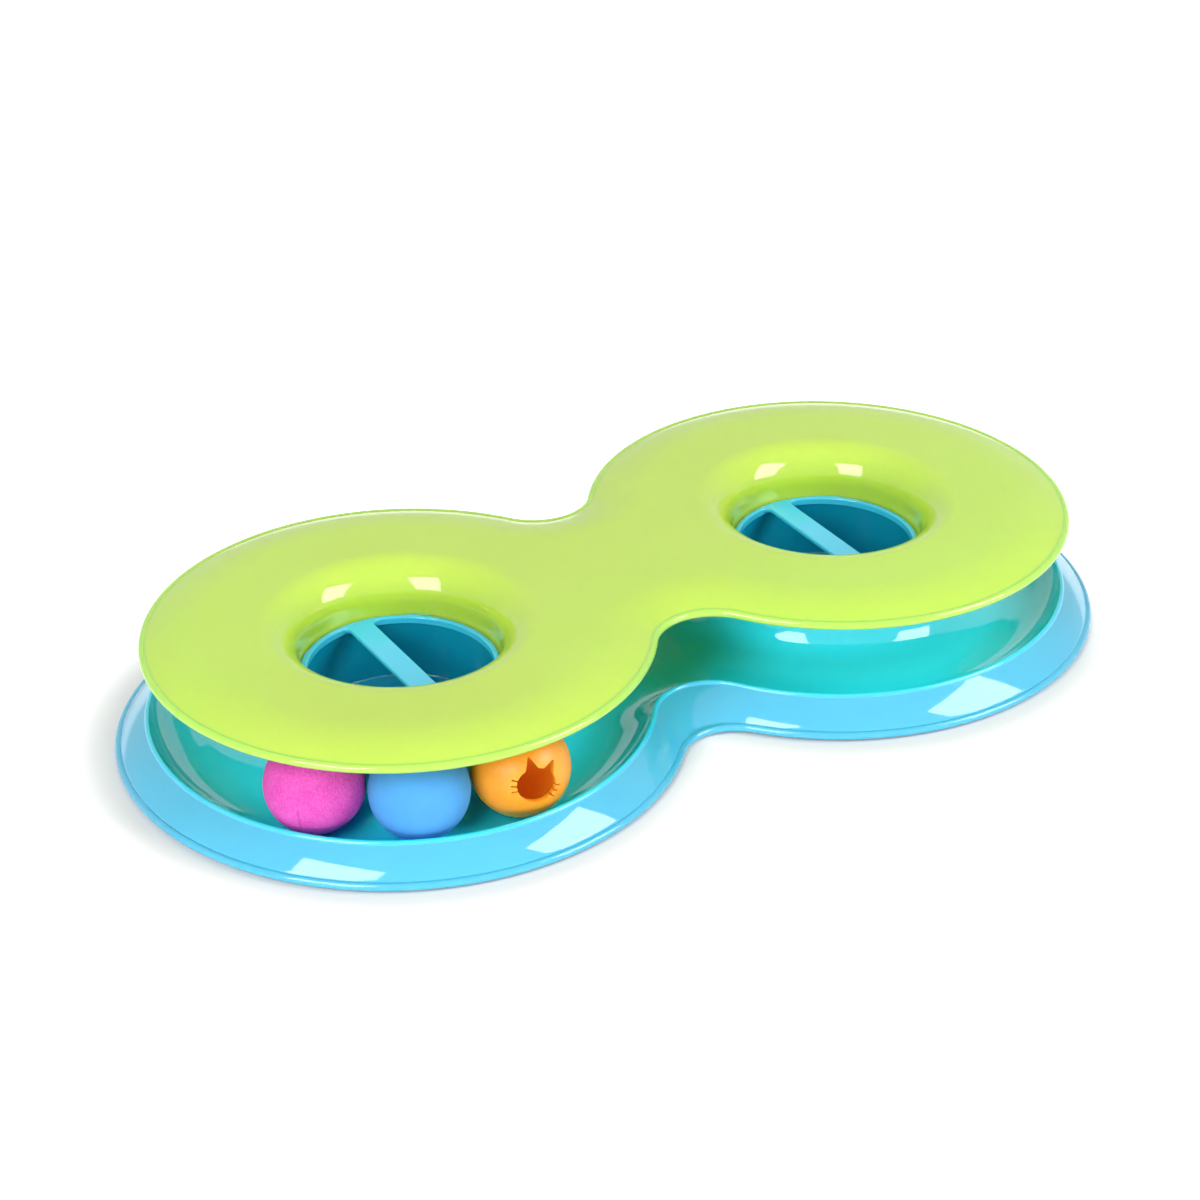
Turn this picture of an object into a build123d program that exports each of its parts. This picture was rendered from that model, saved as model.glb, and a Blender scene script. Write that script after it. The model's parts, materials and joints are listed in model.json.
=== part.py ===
"""Two-ring ball track for cats: a tray, a lift-off cover with two funnels, hub rings, three balls and feet.

The frame has +X along the two rings, +Y to the back and +Z up. The origin is on the floor, midway
between the rings. All sizes are in millimetres.
"""
import os
from math import asin, atan2, cos, degrees, radians, sin, sqrt

from build123d import *

# Rings and walls
ring_gap = 2.0  # between the crests of the two rings, if each ran on as a full circle
wall = 2.0  # thickness of both mouldings

# Balls
ball_diameter = 40.0
ball_gap = 0.3  # under a ball, where it would roll on the track
blue_angle = -112.5  # place of the blue ball round the left ring, from +X
pink_gap = 1.201  # from the blue ball to the pink one
treat_gap = 1.893  # from the blue ball to the treat ball

# Feet
foot_diameter = 14.0
foot_thickness = 1.2
foot_chamfer = 0.3
foot_turn = 45.0  # of the first foot of each ring, from +X
feet_per_ring = 4
boss_margin = 1.5  # of the boss round its foot
boss_depth = 0.2  # below the floor of the tray

# Track channel of the tray
track_radius = 82.0  # middle of the channel, from a ring's axis
track_flat = 3.0  # width of the flat at the bottom of the channel
channel_clearance = 3.0  # of the curved sides of the channel, round a ball

# Crest and flange round the tray
crest_rise = 58.67  # degrees of the channel's outer side, from its bottom to the crest
crest_waist = 24.4  # radius of the hollow at the waist
crest_bead = 1.4  # radius of the rounded crest
flange_width = 14.0  # from the crest to the outer edge of the tray
flange_waist = 22.2
flange_bead = 1.7  # radius of the rolled edge
flange_lift = 0.9  # from the floor to the rolled edge
flange_bulge = 1.2  # of the flange, out from a straight cone
flange_wall = 2.5  # thickness of the flange, measured level

# Hubs of the tray
deck_rise = 3.6  # of the cover's seat, above the middle of the channel's curve
deck_edge = 1.0  # rounding of the seat's outer edge
deck_width = 16.9  # from the hub's outside to its ring
seat_depth = 0.8  # of the step that holds the hub's ring
seat_width = 1.4
seat_gap = 0.1

# Ring with a safety bar, set in each hub
ring_height = 3.0
rim_width = 2.4  # of the ring, round its two openings
bar_width = 11.0
bar_thickness = 1.6
bar_corner = 3.0
ring_edge = 0.8  # rounding of the top edges
snap_radius = 0.5  # snap bumps that hold the cover
snap_arc = 14.0
snap_turn = 45.0
snaps_per_ring = 4

# Cover
cover_overhang = 1.3  # beyond the tray's crest
cover_waist = 23.5
cover_rise = 23.0  # from its seat to the flat top
cover_bead = 1.7  # radius of the rolled edge
dome_width = 25.3  # of the border that falls away from the flat top
dome_radius = 64.0
lip_radius = 16.0  # rounding of each funnel's mouth
throat_gap = 0.9  # between each funnel and the hub's ring
ledge_thickness = 1.0
ledge_gap = 0.4  # between the ledge in each funnel and the ring
snap_gap = 0.1  # between the ledge and the snap bumps

# Hollow treat ball
shell_wall = 2.5
lap_depth = 1.5  # lap joint between the two halves
lap_wall = 1.2
lap_gap = 0.1
opening_turn = -98.5  # where the opening looks, from +X
opening_tilt = 7.5  # above level
opening_roll = -17.5
head_width = 16.4
head_height = 14.2
ear_spread = 5.6  # from the middle of the opening to the tip of each ear
ear_height = 10.8
ear_base = 6.2
ear_round = 0.6
whisker_width = 0.7
whisker_length = 3.6
whisker_place = 8.4  # from the middle of the opening to the middle of each slit
whisker_turn = -12.0
whisker_fan = 15.0

# Sizes worked out from those above
ball_radius = ball_diameter / 2
pink_angle = blue_angle - 2 * degrees(asin((ball_diameter + pink_gap) / (2 * track_radius)))
treat_angle = blue_angle + 2 * degrees(asin((ball_diameter + treat_gap) / (2 * track_radius)))
channel_radius = ball_radius + channel_clearance
floor_bottom = foot_thickness + boss_depth
floor_top = floor_bottom + wall
channel_height = floor_top + channel_radius
foot_in = track_radius - track_flat / 2
foot_out = track_radius + track_flat / 2
crest_radius = foot_out + (channel_radius + wall / 2) * sin(radians(crest_rise))
crest_height = channel_height - (channel_radius + wall / 2) * cos(radians(crest_rise))
flange_radius = crest_radius + flange_width
half_spacing = crest_radius + ring_gap / 2
ring_places = (-half_spacing, half_spacing)
drum_radius = foot_in - channel_radius
deck_height = channel_height + deck_rise
ring_radius = drum_radius - deck_width
ring_bottom = deck_height - seat_depth
rim_radius = ring_radius - rim_width
well_radius = ring_radius - seat_width
throat_radius = ring_radius + throat_gap
ledge_radius = ring_radius + ledge_gap
ledge_top = deck_height + ledge_thickness
cover_radius = crest_radius + cover_overhang
cover_top = deck_height + cover_rise
lip_start = throat_radius + lip_radius
lip_height = cover_top - lip_radius
bead_reach = cover_radius - cover_bead
dome_start = cover_radius - dome_width
dome_height = cover_top - dome_radius
dome_fall = degrees(asin((bead_reach - dome_start) / (dome_radius - wall / 2)))
bead_height = dome_height + (dome_radius - wall / 2) * cos(radians(dome_fall))


def figure_eight(radius, waist):
    """Adds the closed outline of two joined rings to the line being built, from its +X end."""
    waist_y = sqrt((radius + waist) ** 2 - half_spacing**2)
    turn = degrees(atan2(waist_y, half_spacing))
    CenterArc((half_spacing, 0), radius, 0, 180 - turn)
    CenterArc((0, waist_y), waist, -turn, 2 * turn - 180)
    CenterArc((-half_spacing, 0), radius, turn, 180 - turn)
    CenterArc((-half_spacing, 0), radius, 180, 180 - turn)
    CenterArc((0, -waist_y), waist, 180 - turn, 2 * turn - 180)
    CenterArc((half_spacing, 0), radius, 180 + turn, 180 - turn)


def ring_plate(radius, waist):
    """Adds the face inside a two-ring outline to the sketch being built."""
    with BuildLine() as outline:
        figure_eight(radius, waist)
    make_face(outline.edges())


def ring_section(x, turn=0.0):
    """Gives the upright plane through a ring's axis, for sections drawn as radius and height."""
    across = (cos(radians(turn)), sin(radians(turn)), 0)
    return Plane(origin=(x, 0, 0), x_dir=across, z_dir=(across[1], -across[0], 0))


def curved_wall(centre, radius, start, size):
    """Adds a band of wall that lies round an arc to the section being built."""
    with BuildLine() as band:
        inside = CenterArc(centre, radius, start, size)
        outside = CenterArc(centre, radius + wall, start, size)
        Line(inside @ 0, outside @ 0)
        Line(inside @ 1, outside @ 1)
    make_face(band.edges())


def straight_wall(inner, outer, bottom, top, mode=Mode.ADD):
    """Adds a rectangle between two radii and two heights to the section being built, or cuts it away."""
    with Locations(((inner + outer) / 2, (bottom + top) / 2)):
        Rectangle(outer - inner, top - bottom, mode=mode)


def shell_quarter(start):
    """Adds a quarter of the treat ball's wall, from its axis to its middle, to the section being built."""
    with BuildLine() as quarter:
        inside = CenterArc((0, 0), ball_radius - shell_wall, start, 90)
        outside = CenterArc((0, 0), ball_radius, start, 90)
        Line(inside @ 0, outside @ 0)
        Line(inside @ 1, outside @ 1)
    make_face(quarter.edges())


def track_point(angle, height):
    """Gives a point above the middle of the left ring's channel."""
    x = -half_spacing + track_radius * cos(radians(angle))
    return (x, track_radius * sin(radians(angle)), height)


os.makedirs("parts", exist_ok=True)

# Sloping flange, from the rolled edge up to the crest, as a loft between two-ring outlines
edge_height = flange_lift + flange_bead
edge_radius = flange_radius - flange_bead
edge_waist = flange_waist + flange_bead
flange_rows = (
    (edge_height, edge_radius + flange_bead / 2, edge_waist - flange_bead / 2),
    (
        (edge_height + crest_height) / 2,
        (edge_radius + crest_radius + flange_bead) / 2 + flange_bulge,
        (edge_waist + crest_waist - flange_bead) / 2 - flange_bulge,
    ),
    (crest_height, crest_radius + crest_bead, crest_waist - crest_bead),
)
with BuildPart() as flange:
    for height, radius, waist in flange_rows:
        with BuildSketch(Plane.XY.offset(height)):
            ring_plate(radius, waist)
    loft()
    for height, radius, waist in flange_rows:
        with BuildSketch(Plane.XY.offset(height)):
            ring_plate(radius - flange_wall, waist + flange_wall)
    loft(mode=Mode.SUBTRACT)
    with BuildLine():
        figure_eight(edge_radius, edge_waist)
    with BuildSketch(Plane.XZ):
        with Locations((half_spacing + edge_radius, edge_height)):
            Circle(flange_bead)
    sweep()

# Tray in one moulding: channel, floor, two hubs with a well in each, and the flange
with BuildPart() as base:
    with BuildLine():
        figure_eight(crest_radius, crest_waist)
    with BuildSketch(Plane.XZ):
        curved_wall((half_spacing + foot_out, channel_height), channel_radius, -90, crest_rise)
        with Locations((half_spacing + crest_radius, crest_height)):
            Circle(crest_bead)
    sweep()
    with BuildSketch(Plane.XY.offset(floor_bottom)):
        ring_plate(foot_out, crest_waist + crest_radius - foot_out)
        with Locations(*((x, 0) for x in ring_places)):
            Circle(foot_in, mode=Mode.SUBTRACT)
    extrude(amount=wall)
    add(flange.part)
    for x in ring_places:
        with BuildSketch(ring_section(x)) as hub_section:
            curved_wall((foot_in, channel_height), channel_radius, 180, 90)
            straight_wall(drum_radius - wall, drum_radius, channel_height, deck_height)
            straight_wall(well_radius, drum_radius, deck_height - wall, deck_height)
            straight_wall(well_radius, well_radius + wall, floor_bottom, deck_height)
            straight_wall(0, well_radius + wall, floor_bottom, floor_top)
            straight_wall(well_radius, ring_radius + seat_gap, ring_bottom, deck_height, Mode.SUBTRACT)
            fillet(hub_section.vertices().sort_by_distance((drum_radius, deck_height))[:1], deck_edge)
        revolve(axis=Axis((x, 0, 0), (0, 0, 1)))
        with BuildSketch(Plane.XY.offset(foot_thickness)):
            with Locations((x, 0)):
                with PolarLocations(track_radius, feet_per_ring, foot_turn):
                    Circle(foot_diameter / 2 + boss_margin)
        extrude(amount=boss_depth + wall / 2)
base.part.label = "track_base"
export_step(base.part, "parts/track_base.step")

# Rings with a safety bar, each set in the step round a hub's well
for side, x in zip(("left", "right"), ring_places):
    with BuildPart() as hub_ring:
        with BuildSketch(Plane.XY.offset(ring_bottom)):
            with Locations((x, 0)):
                Circle(ring_radius)
                Circle(rim_radius, mode=Mode.SUBTRACT)
        extrude(amount=ring_height)
        with BuildSketch(Plane.XY.offset(ring_bottom + ring_height - bar_thickness)):
            with Locations((x, 0)):
                Circle(ring_radius)
                with BuildSketch(mode=Mode.PRIVATE) as hub_openings:
                    Circle(rim_radius)
                    Rectangle(bar_width, 2 * ring_radius, mode=Mode.SUBTRACT)
                    fillet(hub_openings.vertices(), bar_corner)
                add(hub_openings.sketch, mode=Mode.SUBTRACT)
        extrude(amount=bar_thickness)
        fillet(hub_ring.edges().group_by(Axis.Z)[-1], ring_edge)
        for number in range(snaps_per_ring):
            with BuildSketch(ring_section(x, snap_turn + number * 360 / snaps_per_ring)):
                with Locations((ring_radius, ledge_top + snap_gap + snap_radius)):
                    Circle(snap_radius)
            revolve(axis=Axis((x, 0, 0), (0, 0, 1)), revolution_arc=snap_arc)
    hub_ring.part.label = f"hub_ring_{side}"
    export_step(hub_ring.part, f"parts/hub_ring_{side}.step")

# Cover in one moulding: flat top, falling border with a rolled edge, and two funnels with seat ledges
with BuildPart() as cover:
    with BuildLine():
        figure_eight(cover_radius, cover_waist)
    with BuildSketch(Plane.XZ):
        dome_centre = (half_spacing + dome_start, dome_height)
        curved_wall(dome_centre, dome_radius - wall, 90 - dome_fall, dome_fall)
        with Locations((half_spacing + bead_reach, bead_height)):
            Circle(cover_bead)
    sweep()
    with BuildSketch(Plane.XY.offset(cover_top - wall)):
        ring_plate(dome_start, cover_waist + cover_radius - dome_start)
        with Locations(*((x, 0) for x in ring_places)):
            Circle(lip_start, mode=Mode.SUBTRACT)
    extrude(amount=wall)
    for x in ring_places:
        with BuildSketch(ring_section(x)):
            curved_wall((lip_start, lip_height), lip_radius - wall, 90, 90)
            straight_wall(throat_radius, throat_radius + wall, deck_height, lip_height)
            straight_wall(ledge_radius, throat_radius + wall, deck_height, ledge_top)
        revolve(axis=Axis((x, 0, 0), (0, 0, 1)))
cover.part.label = "top_cover"
export_step(cover.part, "parts/top_cover.step")

# Two soft foam balls
ball_height = floor_top + ball_gap + ball_radius
for name, angle in (("pink_ball", pink_angle), ("blue_ball", blue_angle)):
    with BuildPart() as foam_ball:
        with Locations(track_point(angle, ball_height)):
            Sphere(ball_radius)
    foam_ball.part.label = name
    export_step(foam_ball.part, f"parts/{name}.step")

# Hollow treat ball, in two halves that lap at the middle
opening_place = track_point(treat_angle, ball_height)
opening_level = cos(radians(opening_tilt))
opening_axis = Vector(
    opening_level * cos(radians(opening_turn)), opening_level * sin(radians(opening_turn)), sin(radians(opening_tilt))
)
opening_across = Vector(-sin(radians(opening_turn)), cos(radians(opening_turn)), 0)
opening_plane = Plane(
    origin=opening_place,
    x_dir=opening_across.rotate(Axis((0, 0, 0), opening_axis), opening_roll),
    z_dir=opening_axis,
)
shell_inside = ball_radius - shell_wall
lap_radius = shell_inside + lap_wall
shell_axis = Axis(opening_plane.origin, opening_plane.z_dir)
shell_section = Plane(opening_plane.origin, opening_plane.x_dir, -opening_plane.y_dir)
with BuildPart() as treat_front:
    with BuildSketch(shell_section):
        shell_quarter(0)
        straight_wall(shell_inside, lap_radius, -lap_depth, 0)
    revolve(axis=shell_axis)
    with BuildSketch(opening_plane) as opening:
        Ellipse(head_width / 2, head_height / 2)
        with BuildLine():
            Polyline((0, ear_base), (ear_spread, ear_height), (ear_base, 0), close=True)
        make_face()
        for turn in (whisker_turn - whisker_fan, whisker_turn, whisker_turn + whisker_fan):
            with PolarLocations(whisker_place, 1, turn):
                Rectangle(whisker_length, whisker_width)
        mirror(about=Plane.YZ)
        ear_tips = opening.vertices().group_by(Axis.Y)[-1]
        fillet(ear_tips, ear_round)
    extrude(amount=ball_diameter, mode=Mode.SUBTRACT)
treat_front.part.label = "treat_ball_front"
export_step(treat_front.part, "parts/treat_ball_front.step")

with BuildPart() as treat_back:
    with BuildSketch(shell_section):
        shell_quarter(-90)
        with Locations((0, -(lap_depth + lap_gap) / 2)):
            Rectangle(2 * (lap_radius + lap_gap), lap_depth + lap_gap, mode=Mode.SUBTRACT)
    revolve(axis=shell_axis)
treat_back.part.label = "treat_ball_back"
export_step(treat_back.part, "parts/treat_ball_back.step")

# Non-slip feet under the channel
foot_number = 0
for x in ring_places:
    for step in range(feet_per_ring):
        foot_number += 1
        turn = radians(foot_turn + step * 360 / feet_per_ring)
        place = (x + track_radius * cos(turn), track_radius * sin(turn), foot_thickness / 2)
        with BuildPart() as foot:
            with Locations(place):
                Cylinder(foot_diameter / 2, foot_thickness)
            chamfer(foot.edges().group_by(Axis.Z)[0], foot_chamfer)
        foot.part.label = f"foot_{foot_number}"
        export_step(foot.part, f"parts/foot_{foot_number}.step")
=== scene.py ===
import json
import math

import bmesh
import bpy
import numpy as np
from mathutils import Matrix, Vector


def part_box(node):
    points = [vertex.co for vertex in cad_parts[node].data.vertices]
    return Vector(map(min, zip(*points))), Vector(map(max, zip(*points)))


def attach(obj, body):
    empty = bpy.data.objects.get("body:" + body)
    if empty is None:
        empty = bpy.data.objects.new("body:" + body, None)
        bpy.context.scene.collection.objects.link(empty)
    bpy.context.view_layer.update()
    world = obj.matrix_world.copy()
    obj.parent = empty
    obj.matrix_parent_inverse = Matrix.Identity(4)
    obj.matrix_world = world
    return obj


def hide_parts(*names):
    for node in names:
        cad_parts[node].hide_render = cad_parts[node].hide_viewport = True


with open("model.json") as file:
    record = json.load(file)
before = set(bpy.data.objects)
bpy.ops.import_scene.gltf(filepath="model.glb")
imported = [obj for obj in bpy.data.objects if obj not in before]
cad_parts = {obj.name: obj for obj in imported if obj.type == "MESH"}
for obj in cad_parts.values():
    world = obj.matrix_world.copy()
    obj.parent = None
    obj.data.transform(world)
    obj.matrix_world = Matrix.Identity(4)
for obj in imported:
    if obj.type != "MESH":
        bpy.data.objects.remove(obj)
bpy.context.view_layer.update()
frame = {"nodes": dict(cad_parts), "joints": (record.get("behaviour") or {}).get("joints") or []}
mm = 0.001
hair = 1e-6  # metres or radians, under which two places are the same
print("frame loaded:", len(frame["nodes"]), "nodes")


def corners(node):  # lowest and highest corner of a node
    return [np.array(c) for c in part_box(node)]


def middleOf(node):
    return sum(corners(node)) / 2


# ring axes, ball track and seats, read from the frame
orbit = next(j for j in frame["joints"] if j["name"] == "blue_orbit")
ringHalf = abs(orbit["pos_m"][0])  # from the middle to a ring's axis
trayLow, trayHigh = corners("track_base")
coverLow, coverHigh = corners("top_cover")
blueLow, blueHigh = corners("blue_ball")
hubRingLow, hubRingHigh = corners("hub_ring_right")
footLow, footHigh = corners("foot_5")
ballRadius = (blueHigh[2] - blueLow[2]) / 2
treatCentre = (middleOf("treat_ball_front") + middleOf("treat_ball_back")) / 2
trackRadius = math.hypot(*(middleOf("blue_ball") - np.array(orbit["pos_m"]))[:2])


# a camera or a lamp that faces a target, from a bearing off the front and a height, both in degrees
def placeFacing(holder, target, bearingFront, height, distance):
    around, up = math.radians(bearingFront), math.radians(height)
    way = np.array([math.sin(around) * math.cos(up), -math.cos(around) * math.cos(up), math.sin(up)])
    holder.location = np.array(target) + way * distance
    holder.rotation_euler = (math.pi / 2 - up, 0, around)
    bpy.context.scene.collection.objects.link(holder)


camera = {
    "azimuth": -30.93, "elevation": 29.55,  # degrees, round the target
    "distance": 1.2663, "target": (0.0, 0.0, 0.0303), "clipEnd": 50.0,  # metres
    "imagePixels": 1200, "focalPixels": 2980.0, "opticalCentre": (621.2, 602.3),
    "sensor": 36.0,  # millimetres
}


def addCamera(c):
    data = bpy.data.cameras.new("camera")
    data.sensor_width = c["sensor"]
    data.lens = c["sensor"] * c["focalPixels"] / c["imagePixels"]
    data.shift_x = 0.5 - c["opticalCentre"][0] / c["imagePixels"]
    data.shift_y = c["opticalCentre"][1] / c["imagePixels"] - 0.5
    data.clip_end = c["clipEnd"]
    eye = bpy.data.objects.new("camera", data)
    placeFacing(eye, c["target"], c["azimuth"], c["elevation"], c["distance"])
    bpy.context.scene.camera = eye


addCamera(camera)
print("camera placed")


# curves in a section: points are (distance from a ring's axis, height)
def arc(centre, radius, start, end, steps):  # points on a circle between two angles in degrees
    a = np.radians(np.linspace(start, end, steps))
    return np.stack([centre[0] + radius * np.cos(a), centre[1] + radius * np.sin(a)], -1)


def bearing(centre, point):  # angle in degrees of a point seen from a centre
    return math.degrees(math.atan2(point[1] - centre[1], point[0] - centre[0]))


# where two circles cross, to the left (+1) or right (-1) of the line from a to b
def circlesMeet(a, ra, b, rb, side):
    gap = math.dist(a, b)
    along = (gap * gap + ra * ra - rb * rb) / (2 * gap)
    off = side * math.sqrt(ra * ra - along * along)
    ux, uy = (b[0] - a[0]) / gap, (b[1] - a[1]) / gap
    return (a[0] + along * ux - off * uy, a[1] + along * uy + off * ux)


def chain(*parts):  # joins runs of section points and drops repeats
    points = np.concatenate([np.atleast_2d(p) for p in parts])
    step = np.linalg.norm(np.diff(points, axis=0), axis=1)
    return points[np.concatenate([[True], step > hair])]


outline = {"ringSteps": 98, "waistSteps": 30, "midSteps": 19}  # samples of each arc and of the midline
legSteps = 2 * [outline["ringSteps"], outline["waistSteps"], outline["ringSteps"]]  # far and near side


# outline of two joined rings: arcs about both axes, and hollow arcs of another radius at the waist
def eightPoints(t, radius, waist):  # t goes from 0 to 1 over six legs, from the +X end round the far side
    t, radius, waist = np.broadcast_arrays(t, radius, waist)
    waistY = np.sqrt((radius + waist) ** 2 - ringHalf**2)
    turn = np.arctan2(waistY, ringHalf)
    leg = (t * len(legSteps)).astype(int)
    half, nil, pi = np.full_like(turn, ringHalf), np.zeros_like(turn), np.full_like(turn, math.pi)
    x = np.choose(leg, (half, nil, -half, -half, nil, half))
    y = np.choose(leg, (nil, waistY, nil, nil, -waistY, nil))
    size = np.choose(leg, (radius, waist, radius, radius, waist, radius))
    start = np.choose(leg, (nil, -turn, turn, pi, pi - turn, pi + turn))
    span = np.choose(leg, (pi - turn, 2 * turn - pi, pi - turn, pi - turn, 2 * turn - pi, pi - turn))
    angle = start + span * (t * len(legSteps) - leg)
    return x + size * np.cos(angle), y + size * np.sin(angle)


def outlineSteps():  # even steps within each leg
    return np.concatenate([(leg + np.arange(n) / n) / len(legSteps) for leg, n in enumerate(legSteps)])


# a section carried round the outline: rows follow the outline, columns the section
def carryRound(radius, waist, height):
    x, y = eightPoints(outlineSteps()[:, None], radius[None], waist[None])
    return np.stack([x, y, np.broadcast_to(height, x.shape)], -1)


def raysTo(radius, waist):  # angles about the +X ring's axis, and distances to its half of an outline
    x, y = eightPoints(outlineSteps(), radius, waist)
    neck = math.sqrt((radius + waist) ** 2 - ringHalf**2) - waist
    mid = np.linspace(-neck, neck, outline["midSteps"] + 2)[1:-1]
    keep = x > -hair
    x, y = np.append(x[keep], 0 * mid), np.append(y[keep], mid)
    angle = np.arctan2(y, x - ringHalf)
    angle[angle > math.pi - hair] -= 2 * math.pi
    order = np.argsort(angle)
    return angle[order], np.hypot(x - ringHalf, y)[order]


def turned(r, z, angles, centre=(ringHalf, 0)):  # distances and heights carried round an upright axis
    x = centre[0] + r * np.cos(angles)[:, None]
    y = centre[1] + r * np.sin(angles)[:, None]
    return np.stack([x, y, np.broadcast_to(z, x.shape)], -1)


def plateBetween(inner, rays, height, steps):  # level sheet from a circle out to the outline's half
    angles, reach = rays
    return turned(inner + (reach - inner)[:, None] * np.linspace(0, 1, steps), height, angles)


def bothRings(grid, shade):  # patches of one surface on the +X ring and, mirrored, on the -X ring
    return [(grid, True, False, shade), (grid * np.array([-1, 1, 1]), True, False, shade)]


# meshes from grids of points: each patch is (grid, rows close up, columns close up, shade of each column)
def makePiece(name, patches, sharp=32):  # edges that turn by more degrees than this stay sharp
    points, quads, shades, first = [], [], [], 0
    for grid, closeRows, closeColumns, shade in patches:
        index = first + np.arange(grid.shape[0] * grid.shape[1]).reshape(grid.shape[:2])
        if closeRows:
            index = np.concatenate([index, index[:1]], 0)
        if closeColumns:
            index = np.concatenate([index, index[:, :1]], 1)
        around = (index[:-1, :-1], index[1:, :-1], index[1:, 1:], index[:-1, 1:])
        quads.append(np.stack(around, -1).reshape(-1, 4))
        points.append(grid.reshape(-1, 3))
        shades.append(np.broadcast_to(shade, grid.shape[:2]).ravel())
        first += grid.shape[0] * grid.shape[1]
    mesh = bpy.data.meshes.new(name)
    mesh.from_pydata(np.concatenate(points), [], np.concatenate(quads))
    layer = mesh.attributes.new("shade", "FLOAT", "POINT")
    layer.data.foreach_set("value", np.concatenate(shades).astype(np.float32))
    work = bmesh.new()
    work.from_mesh(mesh)
    bmesh.ops.remove_doubles(work, verts=work.verts, dist=2 * hair)
    bmesh.ops.dissolve_degenerate(work, edges=work.edges, dist=0.1 * hair)
    bmesh.ops.recalc_face_normals(work, faces=work.faces)
    work.to_mesh(mesh)
    work.free()
    mesh.polygons.foreach_set("use_smooth", np.ones(len(mesh.polygons), bool))
    mesh.set_sharp_from_angle(angle=math.radians(sharp))
    piece = bpy.data.objects.new(name, mesh)
    bpy.context.scene.collection.objects.link(piece)
    return piece


def settle(piece, body, slot, material, *nodes):  # its body, record slot (not used), finish and the nodes it stands for
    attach(piece, body)
    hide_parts(*nodes)
    piece.data.materials.append(material)
    print("made", piece.name, len(piece.data.polygons), "faces")


# shader expressions: a socket that adds Math nodes when it is added, taken away or multiplied
class Wire:
    def __init__(self, tree, socket=None):
        self.tree, self.socket = tree, socket

    # any node: its type, its settings, the output to use, and the values or links of its sockets
    def node(self, kind, settings=None, out=0, **values):
        made = self.tree.nodes.new(kind)
        for key, value in (settings or {}).items():
            setattr(made, key, value)
        for key, value in values.items():
            name = key.replace("_", " ")
            entry = made.inputs[int(name[1:]) if name[1:].isdigit() else name]  # i0 is the first socket
            if isinstance(value, Wire):
                self.tree.links.new(value.socket, entry)
            else:
                entry.default_value = value
        return Wire(self.tree, made.outputs[out])

    def maths(self, operation, first, second):
        return self.node("ShaderNodeMath", {"operation": operation}, i0=first, i1=second)

    def __add__(self, other):
        return self.maths("ADD", self, other)

    __radd__ = __add__

    def __mul__(self, other):
        return self.maths("MULTIPLY", self, other)

    __rmul__ = __mul__

    def __sub__(self, other):
        return self.maths("SUBTRACT", self, other)

    def __rsub__(self, other):
        return self.maths("SUBTRACT", other, self)


def startFinish(name, **constants):  # a material with one shader, whose plain sockets are set directly
    material = bpy.data.materials.new(name)
    material.use_nodes = True
    shader = material.node_tree.nodes["Principled BSDF"]
    for key, value in constants.items():
        shader.inputs[key.replace("_", " ")].default_value = value
    return material, shader, Wire(material.node_tree)


def plug(wire, node, name):  # links a value to a node's input
    wire.tree.links.new(wire.socket, node.inputs[name])


def mixColour(tree, factor, first, second):
    return tree.node("ShaderNodeMix", {"data_type": "RGBA"}, 2, i0=factor, i6=first, i7=second)


def noise(tree, place, scale, detail, rough=0.5):  # its values lie about 0.5
    return tree.node("ShaderNodeTexNoise", Vector=place, Scale=scale, Detail=detail, Roughness=rough)


def easedStep(tree, value, start, end):  # rises smoothly from 0 to 1 between two values
    eased = {"interpolation_type": "SMOOTHSTEP"}
    return tree.node("ShaderNodeMapRange", eased, Value=value, From_Min=start, From_Max=end)


def distanceTo(tree, place, point):
    return tree.node("ShaderNodeVectorMath", {"operation": "DISTANCE"}, "Value", i0=place, i1=tuple(point))


def raysOf(nodeTree, *kinds):  # 1 for a ray of one of these kinds, 0 for any other
    path = nodeTree.nodes.new("ShaderNodeLightPath")
    first, *others = (Wire(nodeTree, path.outputs[f"Is {kind} Ray"]) for kind in kinds)
    return sum(others, first)


# moulded gloss plastic: faint cloudiness of the pigment, uneven polish and a trace of mould texture
def glossPlastic(name, look):
    material, shader, tree = startFinish(
        name, IOR=look["index"], Subsurface_Weight=look["glow"], Subsurface_Scale=look["glowDepth"],
        Subsurface_Radius=look["glowColour"])
    place = tree.node("ShaderNodeTexCoord", out="Object")
    cloud = noise(tree, place, look["cloudScale"], detail=3.0)
    fine = noise(tree, place, look["polishScale"], detail=4.0, rough=0.6)
    shade = tree.node("ShaderNodeAttribute", {"attribute_name": "shade"}, "Fac")
    colour = mixColour(tree, cloud, look["deep"], look["light"])
    # zone colours chosen by the shade attribute: painted light in the tray's channel, painted shade in its
    # wells and on the cover's rolled edge
    for step, zone in enumerate(look["zones"]):
        colour = mixColour(tree, shade - step, colour, zone)
    plug(colour, shader, "Base Color")
    plug(look["rough"] + (fine - 0.5) * look["roughSpread"], shader, "Roughness")
    bump = tree.node("ShaderNodeBump", Strength=look["bump"], Distance=look["bumpDepth"], Height=fine)
    plug(bump, shader, "Normal")
    return material


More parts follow.
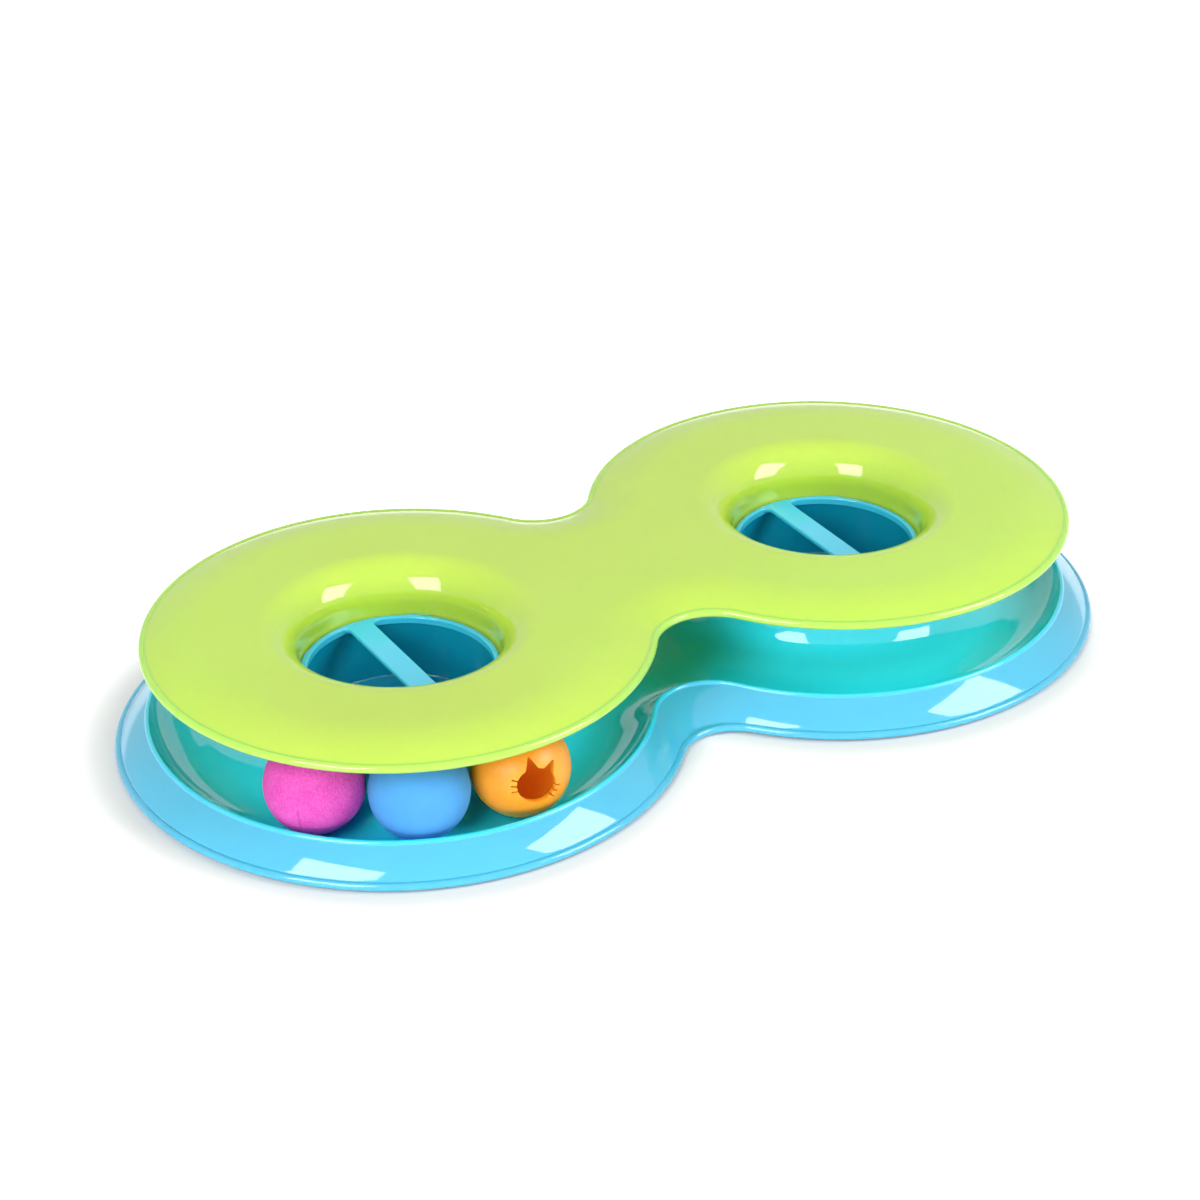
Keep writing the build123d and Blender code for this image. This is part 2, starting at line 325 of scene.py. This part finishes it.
glossFinish = {
    "index": 1.62, "rough": 0.05, "roughSpread": 0.03, "cloudScale": 22.0, "polishScale": 900.0,
    "bump": 0.05, "bumpDepth": 0.02 * mm, "glow": 1.0,
}
trayPlastic = {
    **glossFinish, "deep": (0.070, 0.465, 0.68, 1), "light": (0.085, 0.515, 0.73, 1),
    "zones": ((0.030, 0.735, 0.99, 1), (0.004, 0.31, 0.46, 1)),  # colour in the channel, brighter as painted light, and in the wells, darker as painted shade
    "glowDepth": 0.3 * mm, "glowColour": (0.4, 0.9, 1.0),
}
ringPlastic = {**trayPlastic, "deep": (0.06, 0.59, 0.82, 1), "light": (0.07, 0.64, 0.86, 1), "zones": ()}
coverPlastic = {
    **glossFinish, "deep": (0.485, 0.685, 0.062, 1), "light": (0.52, 0.72, 0.082, 1),
    "zones": ((0.40, 0.66, 0.090, 1),),  # darker colour on the rolled edge, a painted shade
    "glowDepth": 6.0 * mm, "glowColour": (0.7, 1.0, 0.25),
}
trayMaterial = glossPlastic("trayPlastic", trayPlastic)
ringMaterial = glossPlastic("ringPlastic", ringPlastic)
coverMaterial = glossPlastic("coverPlastic", coverPlastic)


# soft foam: open cells as pits, a nap that catches light, blotches of pigment and a darker mould line
def softFoam(name, look):
    material, shader, tree = startFinish(
        name, Sheen_Weight=look["sheen"], Sheen_Roughness=look["sheenRough"], Sheen_Tint=look["light"],
        IOR=look["index"], Subsurface_Weight=look["glow"], Subsurface_Scale=look["glowDepth"],
        Subsurface_Radius=look["light"][:3])
    place = tree.node("ShaderNodeTexCoord", out="Object")
    cells = tree.node("ShaderNodeTexVoronoi", {"feature": "F1"}, Vector=place, Scale=look["cellScale"])
    grain = noise(tree, place, look["grainScale"], detail=5.0, rough=0.7)
    blotch = noise(tree, place, look["blotchScale"], detail=2.0)
    seam = tree.node("ShaderNodeAttribute", {"attribute_name": "shade"}, "Fac")
    colour = mixColour(tree, (grain - 0.5) * look["speckle"] + blotch, look["deep"], look["light"])
    plug(mixColour(tree, seam * look["seamStrength"], colour, look["seam"]), shader, "Base Color")
    plug(look["rough"] + grain * look["roughSpread"], shader, "Roughness")
    relief = cells * look["cellDepth"] + grain
    bump = tree.node("ShaderNodeBump", Strength=look["bump"], Distance=look["bumpDepth"], Height=relief)
    plug(bump, shader, "Normal")
    return material


foamFinish = {
    "index": 1.4, "rough": 0.86, "roughSpread": 0.12, "sheenRough": 0.5, "glow": 0.12, "glowDepth": 1.5 * mm,
    "seamStrength": 0.45,
}
pinkFoam = {
    **foamFinish, "deep": (0.57, 0.044, 0.35, 1), "light": (0.74, 0.115, 0.50, 1),
    "seam": (0.30, 0.015, 0.17, 1), "sheen": 0.35, "cellScale": 1400.0, "cellDepth": 0.7,
    "grainScale": 1000.0, "blotchScale": 120.0, "speckle": 2.6, "bump": 0.8, "bumpDepth": 0.25 * mm,
}
blueFoam = {
    **foamFinish, "deep": (0.062, 0.28, 0.64, 1), "light": (0.086, 0.35, 0.72, 1),
    "seam": (0.03, 0.16, 0.33, 1), "sheen": 0.12, "cellScale": 2600.0, "cellDepth": 0.5,
    "grainScale": 3000.0, "blotchScale": 90.0, "speckle": 0.8, "bump": 0.28, "bumpDepth": 0.10 * mm,
}
pinkMaterial = softFoam("pinkFoam", pinkFoam)
blueMaterial = softFoam("blueFoam", blueFoam)


# satin plastic of the treat ball and the feet: fine spark texture, and light through a thin wall
def satinPlastic(name, look):
    material, shader, tree = startFinish(
        name, IOR=look["index"], Subsurface_Weight=look["glow"], Subsurface_Scale=look["glowDepth"],
        Subsurface_Radius=look["glowColour"])
    place = tree.node("ShaderNodeTexCoord", out="Object")
    spark = noise(tree, place, look["sparkScale"], detail=4.0, rough=0.65)
    cloud = noise(tree, place, look["cloudScale"], detail=2.0)
    plug(mixColour(tree, cloud, look["deep"], look["light"]), shader, "Base Color")
    plug(look["rough"] + (spark - 0.5) * look["roughSpread"], shader, "Roughness")
    bump = tree.node("ShaderNodeBump", Strength=look["bump"], Distance=look["bumpDepth"], Height=spark)
    plug(bump, shader, "Normal")
    return material


# painted light: an emitted glow on the treat ball's inside stands in for light through its wall, most on the
# side of the right-hand lamp
def lightInside(material, look):
    tree, shader = Wire(material.node_tree), material.node_tree.nodes["Principled BSDF"]
    place = tree.node("ShaderNodeTexCoord", out="Object")
    inside = tree.maths("LESS_THAN", distanceTo(tree, place, treatCentre), look["innerRadius"])
    bright = 1 - distanceTo(tree, place, treatCentre + np.array(look["litSide"])) * (1 / look["litReach"])
    plug(mixColour(tree, inside * bright, (0, 0, 0, 1), look["litColour"]), shader, "Emission Color")
    shader.inputs["Emission Strength"].default_value = 1.0


satinFinish = {"index": 1.47, "cloudScale": 60.0, "roughSpread": 0.2, "bumpDepth": 0.05 * mm}
treatPlastic = {
    **satinFinish, "deep": (0.90, 0.34, 0.019, 1), "light": (0.95, 0.39, 0.025, 1),
    "sparkScale": 1800.0, "rough": 0.38, "bump": 0.2,
    "glow": 1.0, "glowDepth": 2.0 * mm, "glowColour": (1.0, 0.5, 0.15), "innerRadius": 17.7 * mm,
    "litSide": (0.016, 0.004, -0.002), "litReach": 0.026, "litColour": (0.24, 0.065, 0.004, 1),
}
footRubber = {
    **satinFinish, "deep": (0.66, 0.69, 0.72, 1), "light": (0.78, 0.80, 0.82, 1),
    "sparkScale": 1200.0, "rough": 0.7, "bump": 0.4,
    "glow": 0.0, "glowDepth": 1.0 * mm, "glowColour": (1.0, 1.0, 1.0),
}
treatMaterial = satinPlastic("treatPlastic", treatPlastic)
lightInside(treatMaterial, treatPlastic)
footMaterial = satinPlastic("footRubber", footRubber)
print("finishes made")


# cover: border carried round the outline, level top, and a funnel turned about each ring's axis
coverForm = {
    "waist": 23.5 * mm, "wall": 2.0 * mm, "bead": 1.7 * mm, "domeStart": 80.0 * mm, "domeRadius": 64.0 * mm,
    "lip": 16.0 * mm, "throat": 41.5 * mm, "ledge": 41.0 * mm, "ledgeThickness": 1.0 * mm, "round": 0.2 * mm,
    "domeSteps": 26, "beadSteps": 26, "domeUnderSteps": 18, "plateSteps": 7,
    "lipSteps": 40, "cornerSteps": 4, "ledgeSteps": 5, "lipUnderSteps": 24,
}


# the border is an arc that falls from the level top to a round bead, and comes back underneath
def coverPiece(c):
    top, bottom, outer = coverHigh[2], coverLow[2], coverHigh[0] - ringHalf
    dome, under = (c["domeStart"], top - c["domeRadius"]), c["domeRadius"] - c["wall"]
    middle, beadReach = c["domeRadius"] - c["wall"] / 2, outer - c["bead"]
    bead = (beadReach, dome[1] + math.sqrt(middle**2 - (beadReach - dome[0]) ** 2))
    meetOver = circlesMeet(dome, c["domeRadius"], bead, c["bead"], 1)
    meetUnder = circlesMeet(dome, under, bead, c["bead"], -1)
    border = chain(
        arc(dome, c["domeRadius"], 90, bearing(dome, meetOver), c["domeSteps"]),
        arc(bead, c["bead"], bearing(bead, meetOver), bearing(bead, meetUnder) % 360 - 360, c["beadSteps"]),
        arc(dome, under, bearing(dome, meetUnder), 90, c["domeUnderSteps"]))
    waist = c["waist"] + outer - border[:, 0]
    onBead = np.hypot(*(border - bead).T) < c["bead"] + hair
    rays = raysTo(c["domeStart"], c["waist"] + outer - c["domeStart"])
    lip, edge = (c["throat"] + c["lip"], top - c["lip"]), c["round"]
    ledgeTop, funnelBack = bottom + c["ledgeThickness"], c["throat"] + c["wall"]
    funnel = chain(
        arc(lip, c["lip"], 90, 180, c["lipSteps"]), (c["throat"], ledgeTop + edge),
        arc((c["throat"] - edge, ledgeTop + edge), edge, 0, -90, c["cornerSteps"]),
        arc((c["ledge"] + edge, ledgeTop - edge), edge, 90, 180, c["ledgeSteps"]),
        (c["ledge"], bottom), (funnelBack, bottom), (funnelBack, lip[1]),
        arc(lip, c["lip"] - c["wall"], 180, 90, c["lipUnderSteps"]))
    patches = [(carryRound(border[:, 0], waist, border[:, 1]), True, False, onBead)]
    patches += bothRings(turned(*funnel.T, rays[0]), 0)
    for height in (top, top - c["wall"]):
        patches += bothRings(plateBetween(lip[0], rays, height, c["plateSteps"]), 0)
    return makePiece("coverShell", patches)


settle(coverPiece(coverForm), "cover", "cover", coverMaterial, "top_cover")

# tray: channel wall, crest and flange carried round the outline, level floor, and a hub turned on each axis
trayForm = {
    "wall": 2.0 * mm, "floorBottom": 1.4 * mm, "trackFlat": 3.0 * mm, "channel": 23.0 * mm,
    "crestRadius": 104.0 * mm, "crestWaist": 24.4 * mm, "crestBead": 1.4 * mm,
    "flangeWaist": 22.2 * mm, "flangeBead": 1.7 * mm, "flangeBulge": 1.2 * mm, "flangeWall": 2.5 * mm,
    "deckEdge": 1.0 * mm, "seatWidth": 1.4 * mm, "seatGap": 0.1 * mm, "wellRound": 1.0 * mm,
    "bossMargin": 1.5 * mm, "bossSink": 0.6 * mm,
    "channelSteps": 26, "crestSteps": 16, "flangeSteps": 24, "beadSteps": 22, "channelUnderSteps": 14,
    "hubSteps": 28, "roundSteps": 7, "hubUnderSteps": 16, "plateSteps": 4, "bossSteps": 48,
}


def flangeCurve(rows, inset, steps):  # radius, waist and height of the flange: a parabola through three rows
    v = np.linspace(0, 1, steps)
    weights = np.stack([(1 - v) * (1 - 2 * v), 4 * v * (1 - v), v * (2 * v - 1)])
    height, radius, waist = np.array(rows).T @ weights
    return np.stack([radius - inset, waist + inset, height], -1)


# section points as rows of radius, waist and height: radius plus waist is the same on parallel outlines
def parallelTo(family, points):
    return np.stack([points[:, 0], family - points[:, 0], points[:, 1]], -1)


def awayFrom(centre, rows):  # distance of such rows from a centre in the section
    return np.hypot(rows[:, 0] - centre[0], rows[:, 2] - centre[1])


# the section goes up the channel, over the crest, down the flange, round its bead and back underneath
def trayOuter(t):
    foot = trackRadius + t["trackFlat"] / 2
    hollow = (foot, t["floorBottom"] + t["wall"] + t["channel"])
    middle, under = t["channel"] + t["wall"] / 2, t["channel"] + t["wall"]
    crest = (t["crestRadius"], hollow[1] - math.sqrt(middle**2 - (t["crestRadius"] - foot) ** 2))
    bead = (trayHigh[0] - ringHalf - t["flangeBead"], trayLow[2] + t["flangeBead"])
    beadWaist = t["flangeWaist"] + t["flangeBead"]
    byCrest, byBead = t["crestRadius"] + t["crestWaist"], bead[0] + beadWaist  # radius plus waist
    rows = (
        (crest[1], crest[0] + t["crestBead"], t["crestWaist"] - t["crestBead"]),
        ((crest[1] + bead[1]) / 2, (bead[0] + crest[0] + t["flangeBead"]) / 2 + t["flangeBulge"],
         (beadWaist + t["crestWaist"] - t["flangeBead"]) / 2 - t["flangeBulge"]),
        (bead[1], bead[0] + t["flangeBead"] / 2, beadWaist - t["flangeBead"] / 2))
    outer = flangeCurve(rows, 0, t["flangeSteps"])
    outer = outer[awayFrom(bead, outer) > t["flangeBead"]]
    inner = flangeCurve(rows, t["flangeWall"], t["flangeSteps"])[::-1]
    inner = inner[(awayFrom(bead, inner) > t["flangeBead"]) & (awayFrom(hollow, inner) > under)]
    rise = circlesMeet(hollow, t["channel"], crest, t["crestBead"], 1)
    beadFrom, beadTo = bearing(bead, outer[-1, ::2]), bearing(bead, inner[0, ::2]) % 360 - 360
    underFrom = bearing(hollow, inner[-1, ::2])
    section = np.concatenate([
        parallelTo(byCrest, arc(hollow, t["channel"], -90, bearing(hollow, rise), t["channelSteps"])),
        parallelTo(byCrest, arc(crest, t["crestBead"], bearing(crest, rise) % 360, 0, t["crestSteps"])[1:]),
        outer[1:],
        parallelTo(byBead, arc(bead, t["flangeBead"], beadFrom, beadTo, t["beadSteps"])),
        inner,
        parallelTo(byCrest, arc(hollow, under, underFrom, -90, t["channelUnderSteps"]))])
    fade = t["crestSteps"] - 1  # the channel's painted light fades over the crest
    shade = np.clip((t["channelSteps"] + fade - np.arange(len(section))) / fade, 0, 1)
    return carryRound(*section.T), shade, foot, byCrest - foot


# a hub's section goes up from the channel, over the deck, down the well and back underneath
def trayPiece(t):
    outer, outerShade, foot, footWaist = trayOuter(t)
    bottom, floorTop = t["floorBottom"], t["floorBottom"] + t["wall"]
    inFoot = trackRadius - t["trackFlat"] / 2
    hollow = (inFoot, floorTop + t["channel"])
    drum, deck, seat = inFoot - t["channel"], trayHigh[2], hubRingLow[2]
    ringEdge = hubRingHigh[0] - ringHalf
    well, seatEdge = ringEdge - t["seatWidth"], ringEdge + t["seatGap"]
    wellBack, deckUnder = well + t["wall"], deck - t["wall"]
    deckEdge, wellRound = t["deckEdge"], t["wellRound"]
    rays = raysTo(foot, footWaist)
    hub = chain(
        arc(hollow, t["channel"], 270, 180, t["hubSteps"]),
        arc((drum - deckEdge, deck - deckEdge), deckEdge, 0, 90, t["roundSteps"]),
        (seatEdge, deck), (seatEdge, seat), (well, seat), (well, floorTop + wellRound),
        arc((well - wellRound, floorTop + wellRound), wellRound, 0, -90, t["roundSteps"]),
        (well / 2, floorTop), (0, floorTop), (0, bottom), (well / 2, bottom),
        (wellBack, bottom), (wellBack, deckUnder), (drum - t["wall"], deckUnder),
        arc(hollow, t["channel"] + t["wall"], 180, 270, t["hubUnderSteps"]))
    # the hub takes the channel's painted light, and its wells the darker painted shade
    inWell = (hub[:, 0] < well + hair) & (hub[:, 1] > floorTop - hair)
    patches = [(outer, True, False, outerShade)]
    patches += bothRings(turned(*hub.T, rays[0]), 1.0 + inWell)
    for height in (floorTop, bottom):
        patches += bothRings(plateBetween(inFoot, rays, height, t["plateSteps"]), 1.0)
    reach, bossTop = (footHigh[0] - footLow[0]) / 2 + t["bossMargin"], bottom + t["bossSink"]
    boss = np.array([(0, footHigh[2]), (reach, footHigh[2]), (reach, bossTop), (0, bossTop)])
    around = np.linspace(0, 2 * math.pi, t["bossSteps"], endpoint=False)
    for node in (n for n in frame["nodes"] if n.startswith("foot_")):
        patches.append((turned(*boss.T, around, middleOf(node)), True, False, 1.0))
    return makePiece("trayShell", patches)


settle(trayPiece(trayForm), "tray", "tray", trayMaterial, "track_base")

# rings with safety bars, treat ball and feet keep the frame's own shapes
nodeFinishes = {"hub_ring": ringMaterial, "treat_ball": treatMaterial, "foot_": footMaterial}
for node, piece in frame["nodes"].items():
    for start, material in nodeFinishes.items():
        if node.startswith(start):
            piece.data.materials.clear()
            piece.data.materials.append(material)
print("finishes set on the hub rings, the treat ball and the feet")


# foam balls: a sphere of rows from pole to pole and columns round it, with a groove along one upright arc
ballForm = {
    "rows": 180, "columns": 360, "seamWidth": 0.45 * mm, "seamDepth": 0.25 * mm,
    "seamBearing": -134.0, "seamFrom": -31.0, "seamTo": 4.0, "seamFade": 4.0,  # degrees
}


def foamBall(name, node, b, seam):  # the groove is a bell curve across the arc, and fades at the arc's ends
    height = np.radians(np.linspace(90, -90, b["rows"]))[:, None]
    around = np.radians(np.linspace(0, 360, b["columns"], endpoint=False))[None]
    level = np.cos(height)
    way = np.stack([level * np.cos(around), level * np.sin(around), np.sin(height) + 0 * around], -1)
    fromSeam = around - math.radians(b["seamBearing"])
    side = np.sin(fromSeam) * level * ballRadius / b["seamWidth"]
    inside = np.minimum(np.degrees(height) - b["seamFrom"], b["seamTo"] - np.degrees(height)) / b["seamFade"]
    groove = seam * np.exp(-side**2) * (np.cos(fromSeam) > 0) * np.clip(inside, 0, 1)
    reach = ballRadius - b["seamDepth"] * groove
    return makePiece(name, [(middleOf(node) + way * reach[..., None], False, True, groove)], 180)


pinkPiece = foamBall("pinkBall", "pink_ball", ballForm, 1.0)
settle(pinkPiece, "pink_roller", "pink_foam", pinkMaterial, "pink_ball")
bluePiece = foamBall("blueBall", "blue_ball", ballForm, 0.0)
settle(bluePiece, "blue_roller", "blue_foam", blueMaterial, "blue_ball")

# studio: pale floor, white surround for the camera and for reflections, and soft boxes
studio = {
    "target": (0.0, 0.0, 0.03), "floorSize": 8.0,  # metres
    "floorGrey": 0.72, "ambient": 0.15, "frontLift": 0.08, "backLift": 0.75, "farLift": 1.0,
    "shadowSide": -30.93,  # degrees from the front, where the soft shadow shows
    "backFrom": -0.01, "backTo": 0.11,  # metres from the middle, away from that side
    "farFrom": 0.115, "farTo": 0.158,  # metres from the nearer ring's axis
    "lamps": {  # bearing and height in degrees, distance, width and height in metres, watts, mirrored
        "rightBox": (45.0, 34.0, 2.0, 0.95, 1.15, 26.0, True),
        "leftBox": (-60.0, 33.0, 2.0, 0.92, 1.30, 29.2, True),
        "lowFill": (-30.0, 6.0, 1.6, 1.80, 0.30, 14.2, False),
        "backBox": (165.0, 58.0, 1.8, 1.20, 1.00, 9.0, False),
    },
}


def grey(value):
    return (value, value, value, 1)


# painted light: the floor glows where it is seen, a little on the shadow's side, more behind, and to white
# away from the rings, which paints out the lamps' shadows there
def addFloor(s):
    line = np.array([-0.5, 0.5]) * s["floorSize"]
    x, y = np.meshgrid(line, line)
    floor = makePiece("floor", [(np.stack([x, y, 0 * x], -1), False, False, 0)])
    floor.data.flip_normals()  # it faces up
    material, shader, tree = startFinish(
        "paleFloor", Base_Color=grey(s["floorGrey"]), Roughness=0.9, Specular_IOR_Level=0.1)
    place = tree.node("ShaderNodeTexCoord", out="Object")
    around = math.radians(s["shadowSide"])
    backwards = (-math.sin(around), math.cos(around), 0)
    depth = tree.node("ShaderNodeVectorMath", {"operation": "DOT_PRODUCT"}, "Value", i0=place, i1=backwards)
    away = tree.maths("MINIMUM", *(distanceTo(tree, place, (side * ringHalf, 0, 0)) for side in (-1, 1)))
    behind = easedStep(tree, depth, s["backFrom"], s["backTo"])
    far = easedStep(tree, away, s["farFrom"], s["farTo"])
    near = mixColour(tree, behind, grey(s["frontLift"]), grey(s["backLift"]))
    glow = tree.node("ShaderNodeEmission", Color=mixColour(tree, far, near, grey(s["farLift"])))
    lit = Wire(material.node_tree, shader.outputs[0])
    raised = tree.node("ShaderNodeAddShader", i0=lit, i1=glow)
    seen = raysOf(material.node_tree, "Camera", "Glossy")
    mixed = tree.node("ShaderNodeMixShader", i0=seen, i1=lit, i2=raised)
    plug(mixed, material.node_tree.nodes["Material Output"], "Surface")
    floor.data.materials.append(material)


def addSurround(s):  # white where it is seen or mirrored, dimmer where it lights the object
    world = bpy.data.worlds.new("surround")
    bpy.context.scene.world = world
    world.use_nodes = True
    dim = world.node_tree.nodes["Background"]
    dim.inputs["Color"].default_value = grey(1)
    dim.inputs["Strength"].default_value = s["ambient"]
    tree, dimmed = Wire(world.node_tree), Wire(world.node_tree, dim.outputs[0])
    white = tree.node("ShaderNodeBackground", Color=grey(1), Strength=1.0)
    seen = raysOf(world.node_tree, "Camera", "Glossy", "Transmission")
    mixed = tree.node("ShaderNodeMixShader", i0=seen, i1=dimmed, i2=white)
    plug(mixed, world.node_tree.nodes["World Output"], "Surface")


def addLamps(s):
    for name, (bearingFront, height, distance, width, tall, watts, mirrored) in s["lamps"].items():
        lamp = bpy.data.lights.new(name, "AREA")
        lamp.shape, lamp.size, lamp.size_y, lamp.energy = "RECTANGLE", width, tall, watts
        holder = bpy.data.objects.new(name, lamp)
        placeFacing(holder, s["target"], bearingFront, height, distance)
        holder.visible_glossy = mirrored


addFloor(studio)
addSurround(studio)
addLamps(studio)
bpy.context.scene.view_settings.view_transform = "Standard"
print("studio lit")
